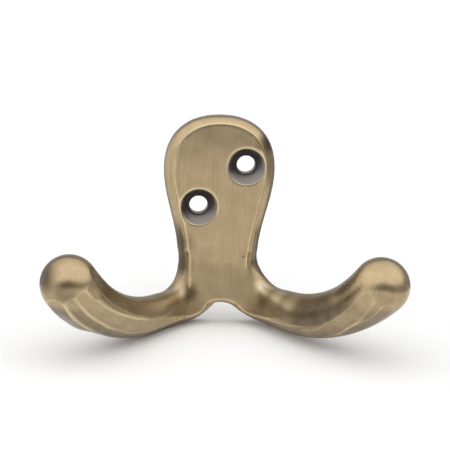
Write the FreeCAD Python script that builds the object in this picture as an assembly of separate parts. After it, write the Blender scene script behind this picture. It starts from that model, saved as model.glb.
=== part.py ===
import FreeCAD, Part
import math
import os

Vector = FreeCAD.Vector

# Frame: X along the wall, Y into the wall, Z up, with the mounting face at Y = 0.
# The origin lies on the mounting face, on the middle line of the hook, level with the middle
# between the two screw holes.

# Plate
plate_thickness = 4.7       # mounting face to the flat front face
ground_off = 0.43           # metal ground off the rough casting to make the front face flat
head_top = 15.4             # top of the head above the origin
head_half_width = 12.3      # half the greatest width of the head
head_widest = 3.4           # height at which the head is widest
waist_half_width = 8.9      # half the narrowest width of the stem
waist_height = -16.3        # height of the narrowest place
shoulder_fullness = 0.63    # 0.55 makes the top an ellipse, more makes its shoulders squarer
side_fullness = 0.34        # how far the sides run straight before they lean inward
edge_round_side = 4.0       # round of the front edge along the sides
edge_round_top = 2.9        # round of the front edge at the very top

# Screw holes, on a slant across the head
hole_diameter = 4.05
countersink_diameter = 8.2
countersink_angle = 90.0
holes_apart_across = 10.3
holes_apart_up = 9.2
holes_shift_across = 0.63   # the pair sits this far to the right of the middle

# Arms
ball_radius = 6.0
ball_across = 31.9          # middle of the ball from the middle of the hook
ball_out = 34.0             # middle of the ball from the wall
ball_height = -13.9
arm_root_across = 8.2       # where the arm's middle line, seen from above, leaves the plate
saddle_half_depth = 4.1

# Bend of each arm: the left one lies a little lower and is a little thinner than the right one
saddle_height_right = -26.4     # the arm's middle line where it is lowest
saddle_half_height_right = 4.6
saddle_to_ball_right = 29.5     # measured level, along the arm
bend_fullness_right = 0.62      # 0.55 bends the arm's root like an ellipse, more bends it tighter
saddle_height_left = -27.6
saddle_half_height_left = 4.2
saddle_to_ball_left = 32.5
bend_fullness_left = 0.70

# Hollow where the flat face turns forward into the arm
hollow_radius = 5.5
hollow_angle = 56.0         # between the face and the arm's front
hollow_leaves = 90.0        # radius on which the hollow runs out along the arm
hollow_run_out = 12.0       # degrees it turns on that radius
hollow_across_top = 9.8     # from the middle of the hook, level with the waist
hollow_across_low = 6.0     # and level with the notch

# Web between the arms, with the notch under it
notch_height = -26.9
notch_radius = 5.0
notch_slope = 29.0
web_half_width = 5.0
web_edge_round = 2.5

# Flats filed along each arm; places count 0 at the waist, 1 at the saddle, 2 at the ball's middle
flat_under_angle = -50.0    # from level, seen along the arm
flat_under_depth = 0.14     # of the arm's half thickness
flat_under_from = 0.35      # place where it starts
flat_front_angle = 8.0
flat_front_depth = 0.105
flat_front_from = 0.8
flats_until = 2.3           # both come out through the ball
flat_run_in = 0.33          # share of its length over which a flat comes to its depth

corner_share = 0.97         # 1 would make the arm's section quite round
corner_spans = 5            # spans of the curve round each corner of that section

# Drawing aids
past_middle = 4.0           # the arm's root is drawn past the middle of the hook,
past_wall = 4.5             # past the wall
past_waist = 2.8            # and past the waist, then trimmed
root_steps = 8              # outlines from the waist to the saddle
rise_steps = 12             # outlines from the saddle to the ball
flat_steps = 9              # outlines along a filed flat
flat_start = 0.1            # clearance from which a filed flat starts into the metal
file_reach = 8.0            # half width and thickness of the shape that files a flat
beyond = 40.0               # how far the other cutting shapes run past the metal
past_metal = 1.0            # and how far the ends of the smaller ones stand clear of it
near_enough = 0.01          # for telling edges apart

up = Vector(0, 0, 1)
cast_thickness = plate_thickness + ground_off
root_plan = Vector(arm_root_across, -plate_thickness / 2, 0)
ball_plan = Vector(ball_across, -ball_out, 0)
arm_way = (ball_plan - root_plan).normalize()
arm_back = Vector(-arm_way.y, arm_way.x, 0)


def mix(start, end, share):
    return start + (end - start) * share


def bezier(*points):
    curve = Part.BezierCurve()
    curve.setPoles(list(points))
    return curve


def mirror_across(shape):
    return shape.mirror(Vector(), Vector(1, 0, 0))


def head_outline():
    """Head and stem down to the waist, drawn on the mounting face."""
    widest = Vector(head_half_width, 0, head_widest)
    waist = Vector(waist_half_width, 0, waist_height)
    rise = head_top - head_widest
    drop = head_widest - waist_height
    shoulder = bezier(
        Vector(0, 0, head_top),
        Vector(shoulder_fullness * head_half_width, 0, head_top),
        widest + up * (shoulder_fullness * rise),
        widest,
    ).toShape()
    side = bezier(
        widest,
        widest - up * (side_fullness * drop),
        waist + up * (side_fullness * drop),
        waist,
    ).toShape()
    half = [shoulder, side]
    bottom = Part.makeLine(waist, Vector(-waist_half_width, 0, waist_height))
    return Part.Wire(Part.__sortEdges__(half + [bottom] + [mirror_across(edge) for edge in half]))


def is_front_edge(edge):
    return edge.BoundBox.YMax < -cast_thickness + near_enough


def head():
    """Head and stem as cast: the outline pulled forward, then its front edge rounded."""
    block = Part.Face(head_outline()).extrude(Vector(0, -cast_thickness, 0))
    rounds = []
    for number, edge in enumerate(block.Edges, 1):
        if not is_front_edge(edge) or edge.BoundBox.ZMax < waist_height + near_enough:
            continue
        ends = [edge_round_side, edge_round_side]
        for end, point in enumerate((edge.valueAt(edge.FirstParameter), edge.valueAt(edge.LastParameter))):
            if point.z > head_top - near_enough:
                ends[end] = edge_round_top
        rounds.append((number, ends[0], ends[1]))
    document = FreeCAD.newDocument("head")
    base = document.addObject("Part::Feature", "block")
    base.Shape = block
    fillet = document.addObject("Part::Fillet", "rounded")
    fillet.Base = base
    fillet.Edges = rounds
    document.recompute()
    return fillet.Shape


def corner_curve(start, bulge, end):
    """Round corner of an outline, with its knots spread evenly."""
    curve = Part.Arc(start, bulge, end).toBSpline()
    for step in range(1, corner_spans):
        knot = mix(curve.FirstParameter, curve.LastParameter, step / float(corner_spans))
        curve.insertKnot(knot, 1, 0.0)
    return curve.toShape()


def rounded_rectangle(station):
    """Closed outline of the metal at one station of the arm."""
    corners = [
        (station.out, station.back, station.round_all),
        (station.out, -station.front, station.round_all),
        (-station.inner, -station.front, station.round_low),
        (-station.inner, station.back, station.round_all),
    ]
    arcs = []
    for turn, (out, back, radius) in enumerate(corners):
        toward_out = -math.copysign(radius, out)
        toward_back = -math.copysign(radius, back)
        inset = 1 - math.sqrt(0.5)
        on_back = station.at(out + toward_out, back)
        bulge = station.at(out + toward_out * inset, back + toward_back * inset)
        on_out = station.at(out, back + toward_back)
        arcs.append((on_back, bulge, on_out) if turn % 2 == 0 else (on_out, bulge, on_back))
    edges = []
    for turn, arc in enumerate(arcs):
        edges.append(corner_curve(*arc))
        edges.append(Part.makeLine(arc[2], arcs[(turn + 1) % 4][0]))
    return Part.Wire(edges)


class Station:
    """One place along an arm: its middle, its directions and the half sizes of the metal there.

    out_way points to the outer side of the bend, which is the top once the arm lies level.
    """

    def __init__(self, middle, ahead, out_way, back_way):
        self.middle = middle
        self.ahead = ahead
        self.out_way = out_way
        self.back_way = back_way

    def size(self, out, inner, front, back, round_all, round_low):
        self.out = out
        self.inner = inner
        self.front = front
        self.back = back
        self.round_all = round_all
        self.round_low = round_low
        return self

    def at(self, out, back):
        return self.middle + self.out_way * out + self.back_way * back


class Bend:
    """How one arm runs from the stem to its ball."""

    def __init__(self, saddle_height, saddle_half_height, saddle_to_ball, fullness):
        self.saddle_height = saddle_height
        self.saddle_half_height = saddle_half_height
        self.saddle_to_ball = saddle_to_ball
        self.fullness = fullness


def root_path(bend):
    """Middle line of the arm's root: down out of the stem, then forward to the saddle."""
    start = root_plan + arm_way * (plate_thickness / 2 / arm_way.y) + up * waist_height
    run = (ball_plan - Vector(start.x, start.y, 0)).Length - bend.saddle_to_ball
    drop = bend.saddle_height - waist_height
    saddle = start + arm_way * run + up * drop
    return bezier(
        start,
        start + up * (bend.fullness * drop),
        saddle - arm_way * (bend.fullness * run),
        saddle,
    )


def root_station(share, bend):
    """From the half stem at the waist, share 0, to the round arm at the saddle, share 1."""
    path = root_path(bend)
    start = path.value(0)
    ahead = path.tangent(share)[0]
    lean = math.acos(max(-1.0, min(1.0, -ahead.z)))
    twist = math.atan2(-arm_way.y, arm_way.x) * math.cos(lean) ** 2
    uphill = arm_way * math.cos(lean) + up * math.sin(lean)
    out_way = uphill * math.cos(twist) + arm_back * math.sin(twist)
    back_way = arm_back * math.cos(twist) - uphill * math.sin(twist)
    half_height = bend.saddle_half_height
    full_round = corner_share * min(saddle_half_depth, half_height)
    return Station(path.value(share), ahead, out_way, back_way).size(
        out=mix(waist_half_width - start.x, half_height, share ** 1.5),
        inner=mix(start.x + past_middle, half_height, math.sin(share * math.pi / 2) ** 1.5),
        front=mix(cast_thickness + start.y, saddle_half_depth, share),
        back=mix(past_wall, saddle_half_depth, share),
        round_all=mix(edge_round_side, full_round, share),
        round_low=mix(edge_round_side, full_round, share),
    )


def rise_station(share, bend):
    """From the saddle, share 0, up to the middle of the ball, share 1."""
    rise = ball_height - bend.saddle_height
    radius = (bend.saddle_to_ball ** 2 + rise ** 2) / (2 * rise)
    angle = math.asin(bend.saddle_to_ball / radius) * share
    saddle = root_path(bend).value(1)
    middle = saddle + arm_way * (radius * math.sin(angle)) + up * (radius * (1 - math.cos(angle)))
    ahead = arm_way * math.cos(angle) + up * math.sin(angle)
    over = up * math.cos(angle) - arm_way * math.sin(angle)
    high = mix(bend.saddle_half_height, ball_radius, share ** 1.5)
    deep = mix(saddle_half_depth, ball_radius, share)
    round_all = corner_share * min(high, deep)
    return Station(middle, ahead, over, arm_back).size(high, high, deep, deep, round_all, round_all)


def arm_station(place, bend):
    """Place 0 is the waist, 1 the saddle and 2 the ball; past 2 the arm is drawn on."""
    return root_station(place, bend) if place < 1 else rise_station(place - 1, bend)


def ball_seat(tip):
    """The arm's last outline: the ball's own circle, divided where the other outlines are."""
    half_side = math.asin(1 - corner_share)
    quarter = math.pi / 2

    def on_circle(angle):
        return tip.at(ball_radius * math.cos(angle), ball_radius * math.sin(angle))

    edges = []
    for turn in range(4):
        start = quarter * (1 - turn) - half_side
        end = -quarter * turn + half_side
        edges.append(corner_curve(on_circle(start), on_circle((start + end) / 2), on_circle(end)))
        side = Part.Arc(on_circle(end), on_circle(end - half_side), on_circle(end - 2 * half_side))
        edges.append(side.toShape())
    return Part.Wire(edges)


def filed_flat(bend, angle, depth, first):
    """Cutting block whose near side runs along the arm and shaves a flat off it.

    The angle is measured from the arm's front, up positive; depth is a share of its half thickness.
    """
    wires = []
    level = math.cos(math.radians(angle))
    rise = math.sin(math.radians(angle))
    for step in range(flat_steps + 1):
        share = step / float(flat_steps)
        station = arm_station(mix(first, flats_until, share), bend)
        outward = station.out_way * rise - station.back_way * level
        across = outward.cross(station.ahead)
        tall = station.out if angle > 0 else station.inner
        corner = station.round_all if angle > 0 else station.round_low
        skin = (station.front - corner) * level + (tall - corner) * abs(rise) + corner
        settled = min(1.0, share / flat_run_in)
        lift = flat_start * (1 - settled) - depth * station.front * settled
        near = station.middle + outward * (skin + lift)
        far = near + outward * file_reach
        aside = across * file_reach
        corners = [near - aside, near + aside, far + aside, far - aside]
        wires.append(Part.makePolygon(corners + corners[:1]))
    return Part.makeLoft(wires, True, False)


def run_out(heading, swing):
    """Step along the arc on which the hollow leaves: it starts on a heading and turns by a swing."""
    chord = 2 * hollow_leaves * math.sin(swing / 2)
    way = heading + swing / 2
    return Vector(math.cos(way), -math.sin(way), 0) * chord


def hollow():
    """Cutting block: flat along the face, then curved forward into the arm's front.

    It is drawn level with the waist and pulled down on a slant until it comes out under the arm.
    """
    corner = Vector(hollow_across_top, -plate_thickness, waist_height)
    turn = math.radians(hollow_angle)
    setback = hollow_radius * math.tan(turn / 2)
    fold = corner - Vector(setback, 0, 0)
    swing = fold + Vector(hollow_radius * math.sin(turn / 2), -hollow_radius * (1 - math.cos(turn / 2)), 0)
    rise = corner + Vector(math.cos(turn), -math.sin(turn), 0) * setback
    bow = rise + run_out(turn, math.radians(hollow_run_out) / 2)
    far = rise + run_out(turn, math.radians(hollow_run_out))
    corner_far = Vector(fold.x - beyond, far.y, waist_height)
    corner_near = Vector(fold.x - beyond, -plate_thickness, waist_height)
    wire = Part.Wire([
        Part.makeLine(corner_near, fold),
        Part.Arc(fold, swing, rise).toShape(),
        Part.Arc(rise, bow, far).toShape(),
        Part.makeLine(far, corner_far),
        Part.makeLine(corner_far, corner_near),
    ])
    waist_to_notch = Vector(hollow_across_low - hollow_across_top, 0, notch_height - waist_height)
    return Part.Face(wire).extrude(waist_to_notch * 2)


def web():
    """Half of the metal between the arms, with the arch of the notch along its lower edge."""
    slope = math.radians(notch_slope)
    crown = Vector(0, 0, notch_height)
    centre = crown - up * notch_radius
    swing = centre + Vector(math.sin(slope / 2), 0, math.cos(slope / 2)) * notch_radius
    spring = centre + Vector(math.sin(slope), 0, math.cos(slope)) * notch_radius
    foot = spring + Vector(1, 0, -math.tan(slope)) * (web_half_width - spring.x)
    wire = Part.Wire([
        Part.Arc(crown, swing, spring).toShape(),
        Part.makeLine(spring, foot),
        Part.makeLine(foot, Vector(web_half_width, 0, waist_height)),
        Part.makeLine(Vector(web_half_width, 0, waist_height), Vector(0, 0, waist_height)),
        Part.makeLine(Vector(0, 0, waist_height), crown),
    ])
    block = Part.Face(wire).extrude(Vector(0, -cast_thickness, 0))
    front = [edge for edge in block.Edges if is_front_edge(edge)]
    lower = [edge for edge in front if edge.BoundBox.ZMax < notch_height + near_enough]
    return block.makeFillet(web_edge_round, lower)


def box_between(low, high):
    size = high - low
    return Part.makeBox(size.x, size.y, size.z, low)


def arm_half(bend):
    """One arm with its half of the web, drawn on the right and trimmed to the middle, wall and waist."""
    above_waist = root_station(0.0, bend)
    above_waist.middle = above_waist.middle + up * past_waist
    places = [step / float(root_steps) for step in range(root_steps)]
    places += [1 + step / float(rise_steps) for step in range(rise_steps + 1)]
    stations = [above_waist] + [arm_station(place, bend) for place in places]
    tip = stations.pop()
    outlines = [rounded_rectangle(station) for station in stations] + [ball_seat(tip)]
    body = Part.makeLoft(outlines, True, False)
    body = body.fuse(Part.makeSphere(ball_radius, tip.middle, tip.ahead, 0, 90, 360))
    body = body.cut(filed_flat(bend, flat_under_angle, flat_under_depth, flat_under_from))
    body = body.cut(filed_flat(bend, flat_front_angle, flat_front_depth, flat_front_from))
    body = body.fuse(web())
    across = box_between(Vector(-beyond, -2 * beyond, -beyond), Vector(0, beyond, beyond))
    behind = box_between(Vector(-beyond, 0, -beyond), Vector(beyond, beyond, beyond))
    before_stem = Vector(-beyond, -cast_thickness - past_metal, waist_height)
    stem = box_between(before_stem, Vector(beyond, beyond, beyond))
    return body.cut([across, behind, stem, hollow()])


def countersunk_hole(across, height):
    """Cutting shape of one screw hole, wide end to the front."""
    mouth = countersink_diameter / 2
    bore = hole_diameter / 2
    depth = (mouth - bore) / math.tan(math.radians(countersink_angle / 2))
    into = Vector(0, 1, 0)
    face = Vector(across, -plate_thickness, height)
    cone = Part.makeCone(mouth, bore, depth, face, into)
    pilot = Part.makeCylinder(bore, plate_thickness + past_metal, face, into)
    entry = Part.makeCylinder(mouth, past_metal, face - into * past_metal, into)
    return cone.fuse([pilot, entry])


def hook_casting():
    right = arm_half(Bend(
        saddle_height_right, saddle_half_height_right, saddle_to_ball_right, bend_fullness_right,
    ))
    left = mirror_across(arm_half(Bend(
        saddle_height_left, saddle_half_height_left, saddle_to_ball_left, bend_fullness_left,
    )))
    ground_face = box_between(Vector(-beyond, -beyond, waist_height), Vector(beyond, -plate_thickness, beyond))
    plate = head().cut(ground_face)
    casting = plate.fuse([right, left])
    casting = casting.removeSplitter()
    holes = []
    for side in (-1, 1):
        across = holes_shift_across + side * holes_apart_across / 2
        holes.append(countersunk_hole(across, side * holes_apart_up / 2))
    return casting.cut(holes)


os.makedirs("parts", exist_ok=True)
hook_casting().exportStep("parts/hook_casting.step")
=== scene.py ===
import math

import bmesh
import bpy
from mathutils import Matrix, Vector


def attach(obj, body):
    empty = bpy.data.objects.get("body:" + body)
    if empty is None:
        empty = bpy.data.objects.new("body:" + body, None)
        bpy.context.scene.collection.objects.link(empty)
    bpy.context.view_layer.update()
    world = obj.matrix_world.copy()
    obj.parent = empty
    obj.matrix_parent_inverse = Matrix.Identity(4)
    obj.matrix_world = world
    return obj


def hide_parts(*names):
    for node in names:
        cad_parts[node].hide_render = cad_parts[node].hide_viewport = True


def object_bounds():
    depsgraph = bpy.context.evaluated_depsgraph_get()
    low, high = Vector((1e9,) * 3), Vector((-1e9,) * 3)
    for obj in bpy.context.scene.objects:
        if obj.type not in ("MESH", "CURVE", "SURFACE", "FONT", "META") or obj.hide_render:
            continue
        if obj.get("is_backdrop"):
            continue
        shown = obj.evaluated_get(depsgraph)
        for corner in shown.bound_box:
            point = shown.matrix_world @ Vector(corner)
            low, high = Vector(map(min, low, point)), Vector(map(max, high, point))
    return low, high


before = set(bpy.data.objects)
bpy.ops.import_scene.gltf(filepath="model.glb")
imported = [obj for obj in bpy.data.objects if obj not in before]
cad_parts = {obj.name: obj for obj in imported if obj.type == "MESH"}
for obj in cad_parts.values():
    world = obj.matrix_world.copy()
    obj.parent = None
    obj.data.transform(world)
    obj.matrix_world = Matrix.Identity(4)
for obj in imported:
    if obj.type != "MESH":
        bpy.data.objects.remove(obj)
cad_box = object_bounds()


# Hook casting: one piece of cast brass. Its flat face is ground and brushed up and down, its arms
# are finished by hand with a file, and the whole is browned and lacquered. Two countersunk screws
# through the head, which the photograph doesn't show, hold it to the wall.

mm = 0.001
degree = math.radians(1)
up = Vector((0, 0, 1))
casting_cell = 0.28 * mm            # the metal is meshed this fine
weld_distance = 0.001 * mm
ball_radius = 6.0 * mm
ball_middle = Vector((31.9, -34.0, -13.9)) * mm
arm_root = Vector((8.2, -2.35, 0)) * mm
arm_way = (ball_middle - arm_root).to_2d().normalized().to_3d()
arm_back = up.cross(arm_way)
saddle_half_front = 4.1 * mm
saddle_half_height = {"left": 4.2 * mm, "right": 4.6 * mm}
saddle_height = {"left": -27.6 * mm, "right": -26.4 * mm}
saddle_to_ball = {"left": 32.5 * mm, "right": 29.5 * mm}
height_growth = 1.5                 # how late on its way to the ball an arm grows in height
bend_radius = {}
ball_turn = {}
for arm in ("left", "right"):
    rise = ball_middle.z - saddle_height[arm]
    bend_radius[arm] = (saddle_to_ball[arm] ** 2 + rise ** 2) / (2 * rise)
    ball_turn[arm] = math.asin(saddle_to_ball[arm] / bend_radius[arm])


def feed(tree, socket, value):
    if isinstance(value, bpy.types.NodeSocket):
        tree.links.new(value, socket)
    else:
        socket.default_value = value


def add_node(tree, kind, settings=None, **inputs):
    """One node; an input is given by its name, or by its place as i0, i1 and so on."""
    node = tree.nodes.new(kind)
    for name, value in (settings or {}).items():
        setattr(node, name, value)
    for name, value in inputs.items():
        by_place = name[0] == "i" and name[1:].isdigit()
        feed(tree, node.inputs[int(name[1:]) if by_place else name.replace("_", " ")], value)
    return node


def by_places(values):
    return {"i%d" % place: value for place, value in enumerate(values)}


def maths(tree, operation, *values):
    settings = {"operation": operation}
    return add_node(tree, "ShaderNodeMath", settings, **by_places(values)).outputs[0]


def product(tree, first, *others):
    for other in others:
        first = maths(tree, "MULTIPLY", first, other)
    return first


def positive(tree, value):
    return maths(tree, "MAXIMUM", value, 0.0)


def between_ends(tree, place):
    """A place on the arm, kept from its saddle, 0, to its ball, 1."""
    return maths(tree, "MINIMUM", positive(tree, place), 1.0)


def diagonal(tree, across, high):
    square = maths(tree, "MULTIPLY", high, high)
    return maths(tree, "SQRT", maths(tree, "MULTIPLY_ADD", across, across, square))


def between(tree, share, first, last):
    """First at share 0, last at share 1."""
    return maths(tree, "MULTIPLY_ADD", share, maths(tree, "SUBTRACT", last, first), first)


def ramped(tree, value, low, high):
    """0 below low, 1 above high, with a soft passage between."""
    settings = {"interpolation_type": "SMOOTHSTEP"}
    named = {"Value": value, "From Min": low, "From Max": high}
    return add_node(tree, "ShaderNodeMapRange", settings, **named).outputs["Result"]


def faded(tree, value, low, high):
    """1 below low, 0 above high."""
    return maths(tree, "SUBTRACT", 1.0, ramped(tree, value, low, high))


def vectors(tree, operation, *values):
    settings = {"operation": operation}
    node = add_node(tree, "ShaderNodeVectorMath", settings, **by_places(values))
    is_number = operation in ("DOT_PRODUCT", "LENGTH", "DISTANCE")
    return node.outputs["Value" if is_number else "Vector"]


def scaled(tree, vector, factor):
    settings = {"operation": "SCALE"}
    node = add_node(tree, "ShaderNodeVectorMath", settings, i0=vector, Scale=factor)
    return node.outputs["Vector"]


def joined(tree, **parts):
    return add_node(tree, "ShaderNodeCombineXYZ", **parts).outputs[0]


def parted(tree, vector):
    return add_node(tree, "ShaderNodeSeparateXYZ", Vector=vector).outputs


def point(tree):
    return add_node(tree, "GeometryNodeInputPosition").outputs[0]


def outward(tree):
    return add_node(tree, "GeometryNodeInputNormal").outputs[0]


def moved(tree, geometry, offset):
    return add_node(
        tree, "GeometryNodeSetPosition", Geometry=geometry, Offset=offset,
    ).outputs[0]


def start_group(name, inputs, outputs):
    tree = bpy.data.node_groups.new(name, "GeometryNodeTree")
    for label, kind, value in inputs:
        socket = tree.interface.new_socket(label, in_out="INPUT", socket_type=kind)
        if value is not None:
            socket.default_value = value
    for label, kind in outputs:
        tree.interface.new_socket(label, in_out="OUTPUT", socket_type=kind)
    given, result = tree.nodes.new("NodeGroupInput"), tree.nodes.new("NodeGroupOutput")
    return tree, given.outputs, result.inputs


# Where a point lies along an arm and round it. Both arms are read as the right one, each with its
# own bend.
whereabouts, given, result = start_group(
    "place_on_arm",
    [],
    [
        ("Place", "NodeSocketFloat"),       # 0 at the saddle, 1 at the middle of the ball
        ("Over", "NodeSocketFloat"),        # from the arm's middle line, upwards
        ("Behind", "NodeSocketFloat"),      # and backwards
        ("Angle", "NodeSocketFloat"),       # round the middle line, 0 in front and rising upwards
        ("Out", "NodeSocketFloat"),         # distance from the middle line
        ("Along", "NodeSocketFloat"),       # way from the saddle
        ("Bar", "NodeSocketFloat"),         # how thick the round bar is in that direction
        ("Over Way", "NodeSocketVector"),
        ("From Ball", "NodeSocketVector"),
        ("Side", "NodeSocketFloat"),        # -1 on the left arm, 1 on the right one
    ],
)
t = whereabouts
spot = parted(t, point(t))
on_right = maths(t, "GREATER_THAN", spot["X"], 0.0)


def of_its_arm(values):
    return maths(t, "MULTIPLY_ADD", on_right, values["right"] - values["left"], values["left"])


as_right = joined(t, X=maths(t, "ABSOLUTE", spot["X"]), Y=spot["Y"], Z=spot["Z"])
from_ball = vectors(t, "SUBTRACT", as_right, ball_middle)
its_radius = of_its_arm(bend_radius)
ahead = maths(t, "ADD", vectors(t, "DOT_PRODUCT", from_ball, arm_way), of_its_arm(saddle_to_ball))
bend_height = maths(t, "ADD", of_its_arm(saddle_height), its_radius)
high = maths(t, "SUBTRACT", spot["Z"], bend_height)
turn = maths(t, "ARCTAN2", ahead, maths(t, "MULTIPLY", high, -1.0))
place = maths(t, "DIVIDE", turn, of_its_arm(ball_turn))
over = maths(t, "SUBTRACT", its_radius, diagonal(t, ahead, high))
behind = vectors(t, "DOT_PRODUCT", from_ball, arm_back)
out = diagonal(t, over, behind)
share = between_ends(t, place)
late_share = maths(t, "POWER", share, height_growth)
half_high = between(t, late_share, of_its_arm(saddle_half_height), ball_radius)
half_front = between(t, share, saddle_half_front, ball_radius)
fullness = diagonal(t, maths(t, "DIVIDE", over, half_high), maths(t, "DIVIDE", behind, half_front))
over_way = vectors(
    t, "SUBTRACT",
    scaled(t, up, maths(t, "COSINE", turn)),
    scaled(t, arm_way, maths(t, "SINE", turn)),
)
for label, value in (
    ("Place", place),
    ("Over", over),
    ("Behind", behind),
    ("Angle", maths(t, "ARCTAN2", over, maths(t, "MULTIPLY", behind, -1.0))),
    ("Out", out),
    ("Along", maths(t, "MULTIPLY", turn, its_radius)),
    ("Bar", maths(t, "DIVIDE", out, fullness)),
    ("Over Way", over_way),
    ("From Ball", from_ball),
    ("Side", maths(t, "MULTIPLY_ADD", on_right, 2.0, -1.0)),
):
    feed(t, result[label], value)


def on_its_arm(tree):
    return add_node(tree, "GeometryNodeGroup", {"node_tree": whereabouts}).outputs


def pushed(tree, geometry, here, way, distance):
    """The points go that way, which is given for the right arm, by that distance."""
    turned = joined(tree, X=here["Side"], Y=1.0, Z=1.0)
    return moved(tree, geometry, vectors(tree, "MULTIPLY", scaled(tree, way, distance), turned))


# The arms as they leave the mould: round bars with round balls, before any file touches them.
as_cast, given, result = start_group(
    "arms_as_cast",
    [("Geometry", "NodeSocketGeometry", None)],
    [("Geometry", "NodeSocketGeometry")],
)
t = as_cast
here = on_its_arm(t)
outwards = vectors(t, "NORMALIZE", vectors(
    t, "ADD", scaled(t, here["Over Way"], here["Over"]), scaled(t, arm_back, here["Behind"]),
))
in_front = product(
    t,
    ramped(t, here["Angle"], -110 * degree, -95 * degree),
    faded(t, here["Angle"], 45 * degree, 65 * degree),
)
past_root = ramped(t, here["Place"], 0.0, 0.45)
on_bar = product(t, past_root, maths(t, "LESS_THAN", here["Place"], 1.0))
missing = positive(t, maths(t, "SUBTRACT", here["Bar"], here["Out"]))
metal = pushed(t, given["Geometry"], here, outwards, product(t, missing, on_bar, in_front))
on_ball = maths(t, "GREATER_THAN", here["Place"], 1.0)
missing = maths(t, "SUBTRACT", ball_radius, vectors(t, "LENGTH", here["From Ball"]))
outwards = vectors(t, "NORMALIZE", here["From Ball"])
metal = pushed(t, metal, here, outwards, product(t, positive(t, missing), on_ball))
feed(t, result["Geometry"], metal)


# One run of the file along an arm: all metal outside its flat is taken off.
hand_wander = 0.26                  # radians by which the hand turns the file on its way
wander_scale = 3.0
run_of_file, given, result = start_group(
    "file_along_arm",
    [
        ("Geometry", "NodeSocketGeometry", None),
        ("Side", "NodeSocketFloat", 1.0),
        ("Angle", "NodeSocketFloat", 0.0),
        ("Twist", "NodeSocketFloat", 0.0),
        ("Depth At Saddle", "NodeSocketFloat", 0.1),
        ("Depth At Ball", "NodeSocketFloat", 0.1),
        ("From", "NodeSocketFloat", 0.0),
        ("To", "NodeSocketFloat", 1.5),
        ("Run In", "NodeSocketFloat", 0.25),
        ("Run Out", "NodeSocketFloat", 0.25),
        ("Seed", "NodeSocketFloat", 0.0),
    ],
    [("Geometry", "NodeSocketGeometry")],
)
t = run_of_file
here = on_its_arm(t)
unsteady = add_node(
    t, "ShaderNodeTexNoise", {"noise_dimensions": "2D"},
    Vector=joined(t, X=here["Place"], Y=given["Seed"]), Scale=wander_scale, Detail=1.0,
).outputs[0]
wander = maths(t, "MULTIPLY", maths(t, "SUBTRACT", unsteady, 0.5), hand_wander)
set_angle = maths(t, "ADD", given["Angle"], wander)
angle = maths(t, "MULTIPLY_ADD", given["Twist"], here["Place"], set_angle)
angle_sine, angle_cosine = maths(t, "SINE", angle), maths(t, "COSINE", angle)
share = between_ends(t, here["Place"])
outside = maths(
    t, "SUBTRACT",
    maths(t, "MULTIPLY", here["Over"], angle_sine),
    maths(t, "MULTIPLY", here["Behind"], angle_cosine),
)
pressed_from = maths(t, "ADD", given["From"], given["Run In"])
pressed_to = maths(t, "SUBTRACT", given["To"], given["Run Out"])
strength = product(
    t,
    ramped(t, here["Place"], given["From"], pressed_from),
    faded(t, here["Place"], pressed_to, given["To"]),
)
full_depth = between(t, share, given["Depth At Saddle"], given["Depth At Ball"])
left_over = maths(t, "SUBTRACT", 1.0, maths(t, "MULTIPLY", full_depth, strength))
limit = maths(t, "MULTIPLY", between(t, share, saddle_half_front, ball_radius), left_over)
its_side = maths(t, "GREATER_THAN", maths(t, "MULTIPLY", here["Side"], given["Side"]), 0.0)
touched = maths(t, "GREATER_THAN", strength, 0.0)
taken = product(t, positive(t, maths(t, "SUBTRACT", outside, limit)), its_side, touched)
file_way = vectors(
    t, "SUBTRACT", scaled(t, here["Over Way"], angle_sine), scaled(t, arm_back, angle_cosine),
)
metal = pushed(t, given["Geometry"], here, file_way, maths(t, "MULTIPLY", taken, -1.0))
feed(t, result["Geometry"], metal)


# A swelling that the file left standing, such as the one between two hollows of an arm's root.
swelling, given, result = start_group(
    "swell_on_arm",
    [
        ("Geometry", "NodeSocketGeometry", None),
        ("Side", "NodeSocketFloat", 1.0),
        # Way from the saddle, and way round the arm from its front.
        ("Start", "NodeSocketVector", None),
        ("End", "NodeSocketVector", None),
        ("Height", "NodeSocketFloat", 0.3 * mm),
        ("Width", "NodeSocketFloat", 1.0 * mm),
    ],
    [("Geometry", "NodeSocketGeometry")],
)
t = swelling
here = on_its_arm(t)
round_way = maths(t, "MULTIPLY", here["Angle"], saddle_half_front)
unrolled = joined(t, X=here["Along"], Y=round_way)
from_start = vectors(t, "SUBTRACT", unrolled, given["Start"])
whole_way = vectors(t, "SUBTRACT", given["End"], given["Start"])
share = maths(
    t, "DIVIDE",
    vectors(t, "DOT_PRODUCT", from_start, whole_way),
    vectors(t, "DOT_PRODUCT", whole_way, whole_way),
)
away = vectors(t, "DISTANCE", from_start, scaled(t, whole_way, share))
its_side = maths(t, "GREATER_THAN", maths(t, "MULTIPLY", here["Side"], given["Side"]), 0.0)
crown = product(
    t, ramped(t, share, -0.4, 0.2), faded(t, share, 0.5, 1.15), faded(t, away, 0.0, given["Width"]),
)
raised = scaled(t, outward(t), product(t, crown, given["Height"], its_side))
feed(t, result["Geometry"], moved(t, given["Geometry"], raised))


# The finishing of the whole casting, in the order of the workshop. Each input says how often a
# part of the surface is gone over.
finishing_passes = {
    "Edge Softening": 1,
    "Rounding": 32,
    "Root Rounding": 64,
    "Valley Filling": 300,
    "Root Polishing": 12,
    "Polishing": 1,
}
finishing, given, result = start_group(
    "finish_casting",
    [("Geometry", "NodeSocketGeometry", None)]
    + [(label, "NodeSocketInt", passes) for label, passes in finishing_passes.items()]
    + [("Metal", "NodeSocketMaterial", None)],
    [("Geometry", "NodeSocketGeometry")],
)
t = finishing


def blurred_point(passes, where=1.0):
    settings = {"data_type": "FLOAT_VECTOR"}
    blur = add_node(t, "GeometryNodeBlurAttribute", settings, Iterations=passes, Weight=where)
    feed(t, blur.inputs["Value"], point(t))
    return blur.outputs[0]


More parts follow.
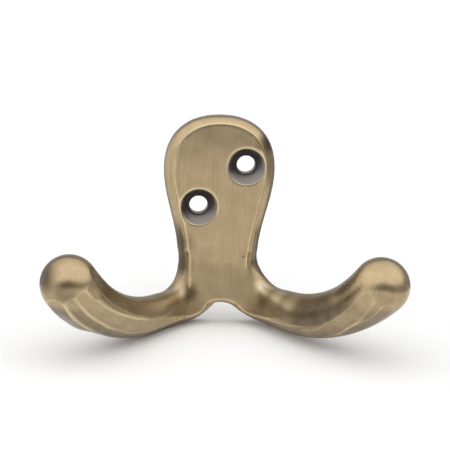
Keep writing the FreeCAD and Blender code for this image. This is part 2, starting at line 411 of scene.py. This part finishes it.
def softened(geometry, passes, where=1.0):
    return add_node(
        t, "GeometryNodeSetPosition", Geometry=geometry, Position=blurred_point(passes, where),
    ).outputs[0]


def bulge(passes):
    """How far a point stands out from the metal round it."""
    off = vectors(t, "SUBTRACT", point(t), blurred_point(passes))
    return vectors(t, "DOT_PRODUCT", off, outward(t))


def hollow(passes):
    return maths(t, "MULTIPLY", bulge(passes), -1.0)


def noted(geometry, name, value, kind="FLOAT"):
    settings = {"data_type": kind, "domain": "POINT"}
    node = add_node(t, "GeometryNodeStoreNamedAttribute", settings, Geometry=geometry, Name=name)
    feed(t, node.inputs["Value"], value)
    return node.outputs[0]


here = on_its_arm(t)
spot = parted(t, point(t))
metal = softened(given["Geometry"], given["Edge Softening"])

# The notch between the arms lies a little to the right.
notch_shift = 0.9 * mm
at_notch = product(
    t,
    ramped(t, spot["X"], -8.5 * mm, -4.5 * mm),
    faded(t, spot["X"], 7 * mm, 17 * mm),
    faded(t, spot["Z"], -21 * mm, -18 * mm),
)
metal = moved(t, metal, joined(t, X=maths(t, "MULTIPLY", at_notch, notch_shift)))

# The edges on top of the arms are filed round, most of all at the roots.
on_top = product(
    t,
    ramped(t, here["Over"], -0.6 * mm, 1.2 * mm),
    ramped(t, maths(t, "ABSOLUTE", spot["X"]), 6.3 * mm, 7.3 * mm),
    faded(t, spot["Z"], -18 * mm, -14.5 * mm),
)
metal = softened(metal, given["Rounding"], on_top)
at_root = faded(t, here["Place"], -0.25, 0.0)
metal = softened(metal, given["Root Rounding"], maths(t, "MULTIPLY", on_top, at_root))

# The valley between face and arm is shallow: it is filled from below, and the swellings beside it
# stay.
right_filling, left_filling = 1.6, 0.7
filling = maths(
    t, "MAXIMUM",
    maths(t, "MULTIPLY", ramped(t, spot["X"], 2.5 * mm, 8.5 * mm), right_filling),
    maths(t, "MULTIPLY", faded(t, spot["X"], -7.5 * mm, -6.0 * mm), left_filling),
)
in_valley = product(
    t,
    ramped(t, here["Over"], -1.6 * mm, 0.4 * mm),
    ramped(t, spot["Y"], -22 * mm, -14 * mm),
    faded(t, spot["Y"], -4.4 * mm, -2.4 * mm),
    faded(t, spot["Z"], -20 * mm, -16 * mm),
)
lacking = positive(t, hollow(given["Valley Filling"]))
metal = moved(t, metal, scaled(t, outward(t), product(t, lacking, filling, in_valley)))

metal = add_node(t, "GeometryNodeGroup", {"node_tree": as_cast}, Geometry=metal).outputs[0]
left, right = -1.0, 1.0
for number, (arm, angle, turn, saddle_depth, ball_depth, start, end, run_in, run_out) in enumerate((
    # Angles in degrees, at the saddle and gained by the ball, and depths as shares of the arm.
    (left, 34, 0, 0.10, 0.07, -0.1, 1.5, 0.30, 0.20),       # flank
    (left, -13, -14, 0.10, 0.040, -0.1, 1.5, 0.30, 0.20),   # under the main ridge
    (left, -78, 28, 0.10, 0.035, 0.35, 1.5, 0.30, 0.20),    # lower front
    (left, -85, 0, 0.05, 0.07, 0.30, 1.5, 0.30, 0.20),      # underside
    (left, -5, 0, 0.0, 0.028, 0.88, 1.5, 0.06, 0.20),       # short one at the top of the fan
    (right, -62, 38, 0.10, 0.028, 0.30, 1.5, 0.30, 0.20),   # under the main ridge
    (right, -76, 8, 0.07, 0.03, 0.55, 1.5, 0.15, 0.20),     # lower front
)):
    metal = add_node(
        t, "GeometryNodeGroup", {"node_tree": run_of_file}, Geometry=metal, Side=arm,
        Angle=angle * degree, Twist=turn * degree,
        Depth_At_Saddle=saddle_depth, Depth_At_Ball=ball_depth,
        From=start, To=end, Run_In=run_in, Run_Out=run_out, Seed=3.7 * number,
    ).outputs[0]
for arm, start, end, height, width in (
    (left, (-6.2, 4.6), (10.5, 2.1), 0.55, 3.2),            # on the roots
    (right, (-9.2, 5.6), (8.2, 1.2), 0.55, 2.6),
    (left, (26.0, -5.9), (37.5, -5.9), 0.7, 5.0),           # the left ball hangs lower
):
    metal = add_node(
        t, "GeometryNodeGroup", {"node_tree": swelling}, Geometry=metal, Side=arm,
        Start=(start[0] * mm, start[1] * mm, 0), End=(end[0] * mm, end[1] * mm, 0),
        Height=height * mm, Width=width * mm,
    ).outputs[0]
before_bar = faded(t, here["Place"], 0.1, 0.4)
metal = softened(metal, given["Root Polishing"], maths(t, "MULTIPLY", on_top, before_bar))
metal = softened(metal, given["Polishing"])

# What the finish goes by. The main ridge parts an arm's flank from the flats below it.
on_right = maths(t, "GREATER_THAN", here["Side"], 0.0)
left_ridge = 2 * degree
right_ridge = maths(t, "MULTIPLY_ADD", here["Place"], 26 * degree, -38 * degree)
over_ridge = maths(t, "SUBTRACT", here["Angle"], between(t, on_right, left_ridge, right_ridge))
flank = product(
    t,
    ramped(t, over_ridge, -8 * degree, 14 * degree),
    faded(t, here["Angle"], 35 * degree, 70 * degree),
    faded(t, here["Place"], 0.93, 1.02),
    ramped(t, here["Place"], -0.05, 0.35),
)
satin = maths(t, "MAXIMUM", faded(t, here["Place"], 0.15, 0.70), flank)
below_waist = faded(t, spot["Z"], -19.5 * mm, -16.5 * mm)
for name, shown in (
    ("arm", ramped(t, here["Place"], -0.40, -0.10)),
    ("flank", flank),
    ("underside", faded(t, here["Angle"], -75 * degree, -5 * degree)),
    ("satin", satin),
):
    metal = noted(metal, name, maths(t, "MULTIPLY", shown, below_waist))
metal = noted(metal, "ridge", ramped(t, bulge(3), 0.010 * mm, 0.038 * mm))
metal = noted(metal, "hollow", ramped(t, hollow(48), 0.03 * mm, 0.25 * mm))
bar_place = joined(t, X=here["Over"], Y=here["Behind"], Z=here["Along"])
metal = noted(metal, "bar_place", bar_place, "FLOAT_VECTOR")
metal = add_node(t, "GeometryNodeSetShadeSmooth", Geometry=metal).outputs[0]
metal = add_node(t, "GeometryNodeRealizeInstances", Geometry=metal).outputs[0]
metal = add_node(t, "GeometryNodeSetMaterial", Geometry=metal, Material=given["Metal"]).outputs[0]
feed(t, result["Geometry"], metal)


# Antique brass: browned metal, lighter where the file and the grinder have been. Painted shade darkens the
# undersides of the arms, the ends of the face, the holes and some patches, and painted highlights lighten
# the roots.
bronze_dark, bronze_light = (0.370, 0.274, 0.154, 1), (0.495, 0.380, 0.228, 1)
# The browns colour the patina in the hollows and also painted shade.
brown_dark, brown_light = (0.128, 0.096, 0.058, 1), (0.212, 0.168, 0.108, 1)
# Dark brown for a pit, for some darker places, and for painted shade and painted dark reflections.
shade_and_stain_brown = (0.055, 0.038, 0.020, 1)
worn_brass = (0.680, 0.550, 0.340, 1)
# Light brass for painted highlights.
painted_highlight_brass = (0.760, 0.670, 0.500, 1)
# Dark grey for painted shade in the holes.
hole_painted_shade = (0.200, 0.178, 0.166, 1)
# How much darker the lower sides of the stem are drawn.
stem_side_darkening = 0.85
# Painted shade at the ends of the face.
face_ends_painted_shade = 0.42
lower_end_painted_shade = 0.4            # of the upper end's
hollow_browning = 0.15
# Painted shade under the arms, stronger on the left one.
underside_painted_shade = {"left": 0.82, "right": 0.62}
# How much darker the flanks are drawn on each arm.
flank_darkening = {"left": 0.38, "right": 0.95}
brush_across, brush_along = 5200, 160
file_across = 2600
mottle_scale = 260
polished_roughness, satin_roughness, grain_roughness = 0.18, 0.17, 0.16
grain_height = 0.05 * mm
hole_places = ((-4.52, -4.6), (5.78, 4.6))
hole_edge = (4.0 * mm, 4.1 * mm)

brass = bpy.data.materials.new("antique_brass")
brass.use_nodes = True
t = brass.node_tree
t.nodes.clear()


def blended(factor, first, second):
    named = {"i0": factor, "i6": first, "i7": second}
    return add_node(t, "ShaderNodeMix", {"data_type": "RGBA"}, **named).outputs[2]


def read_off(name, output="Fac"):
    return add_node(t, "ShaderNodeAttribute", {"attribute_name": name}).outputs[output]


def streaks(vector, across, along):
    stretched = add_node(t, "ShaderNodeMapping", Vector=vector, Scale=(across, across, along))
    return add_node(
        t, "ShaderNodeTexNoise", Vector=stretched.outputs[0], Scale=1.0, Detail=3.0, Roughness=0.6,
    ).outputs[0]


place = add_node(t, "ShaderNodeTexCoord").outputs["Object"]
spot = parted(t, place)
on_right = maths(t, "GREATER_THAN", spot["X"], 0.0)
brushed = streaks(place, brush_across, brush_along)
filed = streaks(read_off("bar_place", "Vector"), file_across, brush_along)
mottle = add_node(
    t, "ShaderNodeTexNoise", Vector=place, Scale=mottle_scale, Detail=4.0, Roughness=0.55,
).outputs[0]
tone = between(t, 0.45, between(t, read_off("arm"), brushed, filed), mottle)
bronze = blended(ramped(t, tone, 0.3, 0.7), bronze_dark, bronze_light)
brown = blended(ramped(t, mottle, 0.3, 0.7), brown_dark, brown_light)
# The lower sides of the stem, which are drawn darker.
stem_side = product(
    t,
    ramped(t, maths(t, "ABSOLUTE", spot["X"]), 6.5 * mm, 7.3 * mm),
    faded(t, spot["Z"], -11 * mm, -6 * mm),
    ramped(t, spot["Z"], -24 * mm, -19 * mm),
    ramped(t, spot["Y"], -4.6 * mm, -4.2 * mm),
)
# Painted shade: the face is drawn darker towards its top and, less, towards its bottom.
upper_end = ramped(t, spot["Z"], 2 * mm, 13 * mm)
lower_end = faded(t, spot["Z"], -20 * mm, -12 * mm)
face_ends = maths(t, "MULTIPLY_ADD", lower_end, lower_end_painted_shade, upper_end)
on_face = faded(t, spot["Y"], -4.6 * mm, -4.5 * mm)
# How much darker each place is drawn: painted shade under the arms and at the ends of the face, and darker
# sides of the stem and flanks.
darkened_share = 0.0
for shown, strength in (
    (stem_side, stem_side_darkening),
    (maths(t, "MULTIPLY", face_ends, on_face), face_ends_painted_shade),
    (read_off("underside"), between(t, on_right, *underside_painted_shade.values())),
    (read_off("flank"), between(t, on_right, *flank_darkening.values())),
):
    darkened_share = maths(t, "MAXIMUM", darkened_share, maths(t, "MULTIPLY", shown, strength))
colour = blended(darkened_share, bronze, brown)
colour = blended(maths(t, "MULTIPLY", read_off("hollow"), hollow_browning), colour, brown)
for patch, size, strength, patch_colour in (
    ((10.2, -3.6, 9.7), 3.4, 0.9, shade_and_stain_brown),             # painted shade on the right edge of the head
    ((-36.9, -36.6, -11.8), 4.8, 0.85, shade_and_stain_brown),        # painted shade on the left end of the left ball
    ((-32.6, -39.8, -14.1), 3.4, 0.50, shade_and_stain_brown),        # painted dark reflection on the front of the left ball
    ((31.6, -40.0, -14.8), 3.0, 0.2, shade_and_stain_brown),          # painted dark reflection on the front of the right ball
    ((-6.2, -5.4, -24.2), 2.8, 0.7, shade_and_stain_brown),           # painted shade in the valleys of the roots
    ((9.4, -8.6, -25.2), 2.6, 0.35, shade_and_stain_brown),
    ((24.4, -33.4, -16.0), 5.0, 0.55, shade_and_stain_brown),         # darker neck of the right ball
    ((20.4, -26.9, -21.3), 5.0, 0.3, shade_and_stain_brown),
    ((-8.0, -3.4, -13.0), 4.0, 0.7, shade_and_stain_brown),           # darker left side of the stem
    ((-8.0, -3.8, -17.5), 3.6, 0.7, shade_and_stain_brown),
    ((5.6, -4.7, -15.8), 0.35, 0.8, shade_and_stain_brown),           # pit in the face
    ((9.9, -7.7, -22.2), 3.2, 0.85, painted_highlight_brass),          # painted highlight along the top of the right root
    ((12.4, -12.2, -22.3), 3.4, 0.75, painted_highlight_brass),
    ((14.8, -16.4, -22.5), 3.4, 0.35, painted_highlight_brass),
    ((-9.5, -6.8, -23.5), 3.4, 0.35, painted_highlight_brass),         # painted highlight on the left root
):
    away = vectors(t, "DISTANCE", place, Vector(patch) * mm)
    shown = maths(t, "MULTIPLY", faded(t, away, 0.2 * size * mm, size * mm), strength)
    colour = blended(shown, colour, patch_colour)
colour = blended(read_off("ridge"), colour, worn_brass)
flat_place = joined(t, X=spot["X"], Z=spot["Z"])
# Painted shade in the countersinks and the bores.
in_hole = 0.0
for across, height in hole_places:
    away = vectors(t, "DISTANCE", flat_place, (across * mm, 0, height * mm))
    in_hole = maths(t, "MAXIMUM", in_hole, faded(t, away, *hole_edge))
off_back = faded(t, spot["Y"], -0.4 * mm, -0.1 * mm)
colour = blended(maths(t, "MULTIPLY", in_hole, off_back), colour, hole_painted_shade)
roughness = maths(t, "MULTIPLY_ADD", read_off("satin"), satin_roughness, polished_roughness)
roughness = maths(t, "MULTIPLY_ADD", tone, grain_roughness, roughness)
relief = add_node(t, "ShaderNodeBump", Height=tone, Strength=0.12, Distance=grain_height)
shader = add_node(
    t, "ShaderNodeBsdfPrincipled", Base_Color=colour, Metallic=1.0, Roughness=roughness,
    Normal=relief.outputs[0], Coat_Weight=0.15, Coat_Roughness=0.3,
)
add_node(t, "ShaderNodeOutputMaterial", Surface=shader.outputs[0])

# The casting: the solid's own surface, meshed finely and then finished.
rough_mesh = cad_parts["hook_casting"].data.copy()
welder = bmesh.new()
welder.from_mesh(rough_mesh)
bmesh.ops.remove_doubles(welder, verts=welder.verts, dist=weld_distance)
welder.to_mesh(rough_mesh)
welder.free()
rough_mesh.normals_split_custom_set([(0, 0, 0)] * len(rough_mesh.loops))
rough = bpy.data.objects.new("rough_casting", rough_mesh)
dense = bpy.data.objects.new("dense_casting", rough_mesh.copy())
for helper in (rough, dense):
    bpy.context.scene.collection.objects.link(helper)
cells = dense.modifiers.new("cells", "REMESH")
cells.mode = "VOXEL"
cells.voxel_size = casting_cell
cells.use_smooth_shade = True
hug = dense.modifiers.new("hug", "SHRINKWRAP")
hug.target = rough
hug.wrap_method = "NEAREST_SURFACEPOINT"
finish = dense.modifiers.new("finish", "NODES")
finish.node_group = finishing
for item in finishing.interface.items_tree:
    if item.name in finishing_passes:
        finish[item.identifier] = finishing_passes[item.name]
    elif item.name == "Metal":
        finish[item.identifier] = brass
ready = dense.evaluated_get(bpy.context.evaluated_depsgraph_get())
casting = bpy.data.objects.new("casting", bpy.data.meshes.new_from_object(ready))
bpy.context.scene.collection.objects.link(casting)
for helper in (rough, dense):
    bpy.data.objects.remove(helper)
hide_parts("hook_casting")
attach(casting, "root")


# Floor: a plain pale board on which the hook rests with the lowest places of its arms. The metal
# mirrors only the board near it, so the rest, a ring round it at one level, is kept out of
# reflections.

level = cad_box[0].z
near_corners = ((-0.40, -0.50), (0.10, -0.50), (0.10, 0.02), (-0.40, 0.02))
far_corners = ((-2, -2), (2, -2), (2, 2), (-2, 2))
pale_grey = (0.86, 0.86, 0.86, 1)
pale = bpy.data.materials.new("pale_board")
pale.use_nodes = True
paint = pale.node_tree.nodes["Principled BSDF"].inputs
paint["Base Color"].default_value = pale_grey
paint["Roughness"].default_value = 0.9
paint["Specular IOR Level"].default_value = 0.0
ring = [(4 + side, 4 + (side + 1) % 4, (side + 1) % 4, side) for side in range(4)]
for name, corners, faces, mirrored in (
    ("board", near_corners, [(0, 1, 2, 3)], True),
    ("board_beyond", near_corners + far_corners, ring, False),
):
    board_mesh = bpy.data.meshes.new(name)
    board_mesh.from_pydata([(x, y, level) for x, y in corners], [], faces)
    board_mesh.materials.append(pale)
    board = bpy.data.objects.new(name, board_mesh)
    board.visible_glossy = mirrored
    bpy.context.scene.collection.objects.link(board)
    board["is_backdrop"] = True


# Light: a soft white room. The metal mirrors its bright ceiling and its dimmer walls, of which the
# left one and the one behind the hook are the brighter ones. The board is lit from the front and
# above, and the camera itself sees plain white.

ceiling_light, ceiling_dimming = 1.45, -0.30        # dimmer towards the back of the room
wall_light, left_light, right_light, back_light = 0.25, 0.85, 0.17, 0.22
board_light, board_light_slope = 0.60, 1.65
board_light_way = Vector((-0.15, -0.80, 0.58))

room = bpy.data.worlds.new("room")
bpy.context.scene.world = room
room.use_nodes = True
t = room.node_tree
t.nodes.clear()
direction = add_node(t, "ShaderNodeTexCoord").outputs["Generated"]
way = parted(t, direction)
ceiling_edge = maths(t, "MULTIPLY_ADD", maths(t, "ABSOLUTE", way["X"]), 0.30, way["Z"])
ceiling_edge = maths(t, "MULTIPLY_ADD", positive(t, way["Y"]), -0.35, ceiling_edge)
ceiling = ramped(t, ceiling_edge, 0.32, 0.64)
ceiling_glow = maths(
    t, "MULTIPLY_ADD", ramped(t, way["Y"], 0.0, 0.6), ceiling_dimming, ceiling_light,
)
walls = wall_light
for shown, light in (
    (ramped(t, way["X"], 0.3, 0.95), right_light),
    (ramped(t, maths(t, "MULTIPLY", way["X"], -1.0), 0.3, 0.95), left_light),
    (ramped(t, way["Y"], 0.80, 0.97), back_light),
):
    walls = maths(t, "MULTIPLY_ADD", shown, light, walls)
mirrored_room = between(t, ceiling, walls, ceiling_glow)
from_front = vectors(t, "DOT_PRODUCT", direction, board_light_way)
room_over_board = positive(
    t, maths(t, "MULTIPLY_ADD", from_front, board_light_slope, board_light),
)
path = add_node(t, "ShaderNodeLightPath").outputs
strength = between(t, path["Is Diffuse Ray"], mirrored_room, room_over_board)
strength = between(t, path["Is Camera Ray"], strength, 1.0)
glow = add_node(t, "ShaderNodeBackground", Color=(1, 1, 1, 1), Strength=strength)
add_node(t, "ShaderNodeOutputWorld", Surface=glow.outputs[0])


# Camera: a long lens, a little above the hook and a little to its left, held slightly askew.

azimuth, elevation, roll = -3.7 * degree, 14.0 * degree, 1.5 * degree
camera_place = (-0.02071, -0.34570, 0.07658)
lens = bpy.data.cameras.new("camera")
lens.sensor_width = 36.0
lens.lens = 127.4
lens.clip_start = 0.01
back = Vector((
    math.sin(azimuth) * math.cos(elevation),
    -math.cos(azimuth) * math.cos(elevation),
    math.sin(elevation),
))
level_right = Vector((math.cos(azimuth), math.sin(azimuth), 0))
level_up = back.cross(level_right)
right_way = level_right * math.cos(roll) + level_up * math.sin(roll)
up_way = level_up * math.cos(roll) - level_right * math.sin(roll)
looking = Matrix((right_way, up_way, back)).transposed().to_4x4()
camera = bpy.data.objects.new("camera", lens)
camera.matrix_world = Matrix.Translation(camera_place) @ looking
bpy.context.scene.collection.objects.link(camera)
bpy.context.scene.camera = camera
bpy.context.scene.view_settings.view_transform = "Standard"

size = {"cad": [list(corner) for corner in cad_box], "visual": [list(corner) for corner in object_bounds()]}
